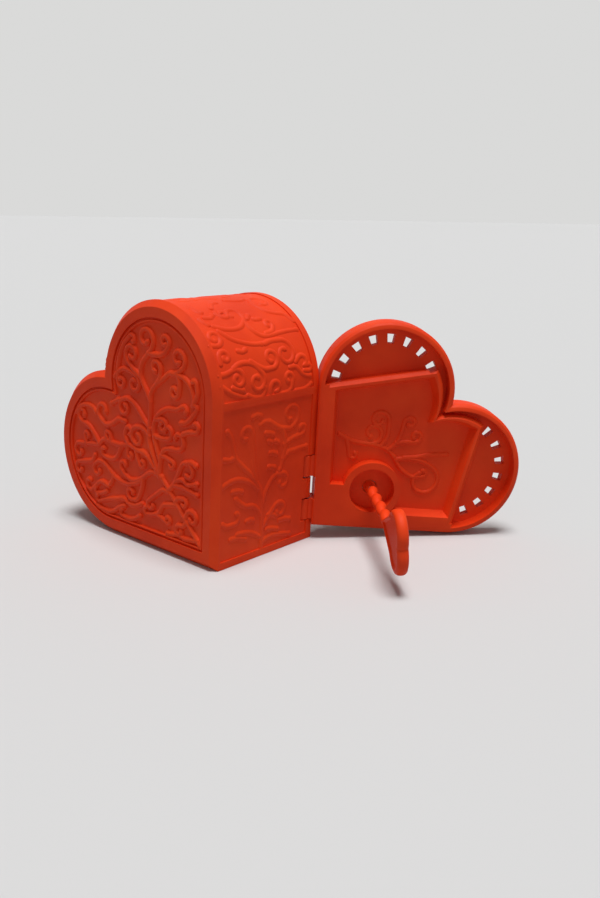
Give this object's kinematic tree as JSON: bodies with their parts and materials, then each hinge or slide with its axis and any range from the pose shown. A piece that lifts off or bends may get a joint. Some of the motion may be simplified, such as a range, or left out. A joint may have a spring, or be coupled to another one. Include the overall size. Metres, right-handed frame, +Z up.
{
  "type": "music box",
  "caption": "Heart-shaped wind-up music box: a scrollwork case that stands on one straight side, with a hinged back door that carries the movement and a twisted winding key",
  "frame": {"origin": "centre of the straight side that the case stands on", "axes": "+X to the right seen from the front, +Y from the front to the back, +Z up"},
  "size_m": [0.144, 0.1079, 0.0869],
  "materials": {
    "printed_plastic": "matt orange-red printed plastic with faint layer lines",
    "steel": "plain plated steel",
    "brass": "satin brass"
  },
  "bodies": {
    "case": {"case_shell": "printed_plastic", "hinge_pin": "steel"},
    "door": {"back_door": "printed_plastic", "bedplate": "steel", "bedplate_screws": "steel", "barrel_bridge": "steel", "bridge_screws": "steel", "click": "steel", "click_screw": "steel", "bearing_bracket": "steel", "gear_bracket": "steel", "bracket_screws": "steel", "comb_base": "steel", "comb": "steel", "comb_screws": "steel"},
    "key": {"winding_key": "printed_plastic", "winding_arbor": "steel", "ratchet_wheel": "steel"},
    "barrel": {"spring_barrel": "brass", "barrel_cap": "brass", "mainspring": "steel"},
    "cylinder": {"cylinder": "brass", "cylinder_arbor": "steel", "cylinder_pinion": "brass", "cylinder_wheel": "brass"},
    "train": {"train_arbor": "steel", "train_pinion": "steel", "train_wheel": "brass"},
    "governor": {"governor_arbor": "steel", "governor_pinion": "steel", "governor_fan": "steel"}
  },
  "joints": [
    {"name": "door_hinge", "type": "hinge", "parent": "case", "child": "door", "pos_m": [0.02525, 0.0215, 0.00013], "axis": [-0.0506, 0, -0.9987], "range_deg": [-132, 0]},
    {"name": "key_turn", "type": "hinge", "parent": "door", "child": "key", "pos_m": [0.03864, 0.04354, 0.01842], "axis": [-0.7422, 0.6691, 0.0376], "continuous": true},
    {"name": "cylinder_spin", "type": "hinge", "parent": "door", "child": "cylinder", "pos_m": [0.02904, 0.05219, 0.01891], "axis": [0.0843, 0.0376, 0.9957], "continuous": true},
    {"name": "barrel_spin", "type": "hinge", "parent": "door", "child": "barrel", "pos_m": [0.03864, 0.04354, 0.01842], "axis": [-0.7422, 0.6691, 0.0376], "continuous": true},
    {"name": "train_spin", "type": "hinge", "parent": "door", "child": "train", "pos_m": [0.03569, 0.05961, 0.01806], "axis": [0.0843, 0.0376, 0.9957], "continuous": true},
    {"name": "governor_spin", "type": "hinge", "parent": "door", "child": "governor", "pos_m": [0.02652, 0.05571, 0.01899], "axis": [0.0843, 0.0376, 0.9957], "continuous": true}
  ],
  "couplings": [
    {"joint": "barrel_spin", "follows": "cylinder_spin", "ratio": 0.33333},
    {"joint": "train_spin", "follows": "cylinder_spin", "ratio": -3},
    {"joint": "governor_spin", "follows": "cylinder_spin", "ratio": 9}
  ]
}
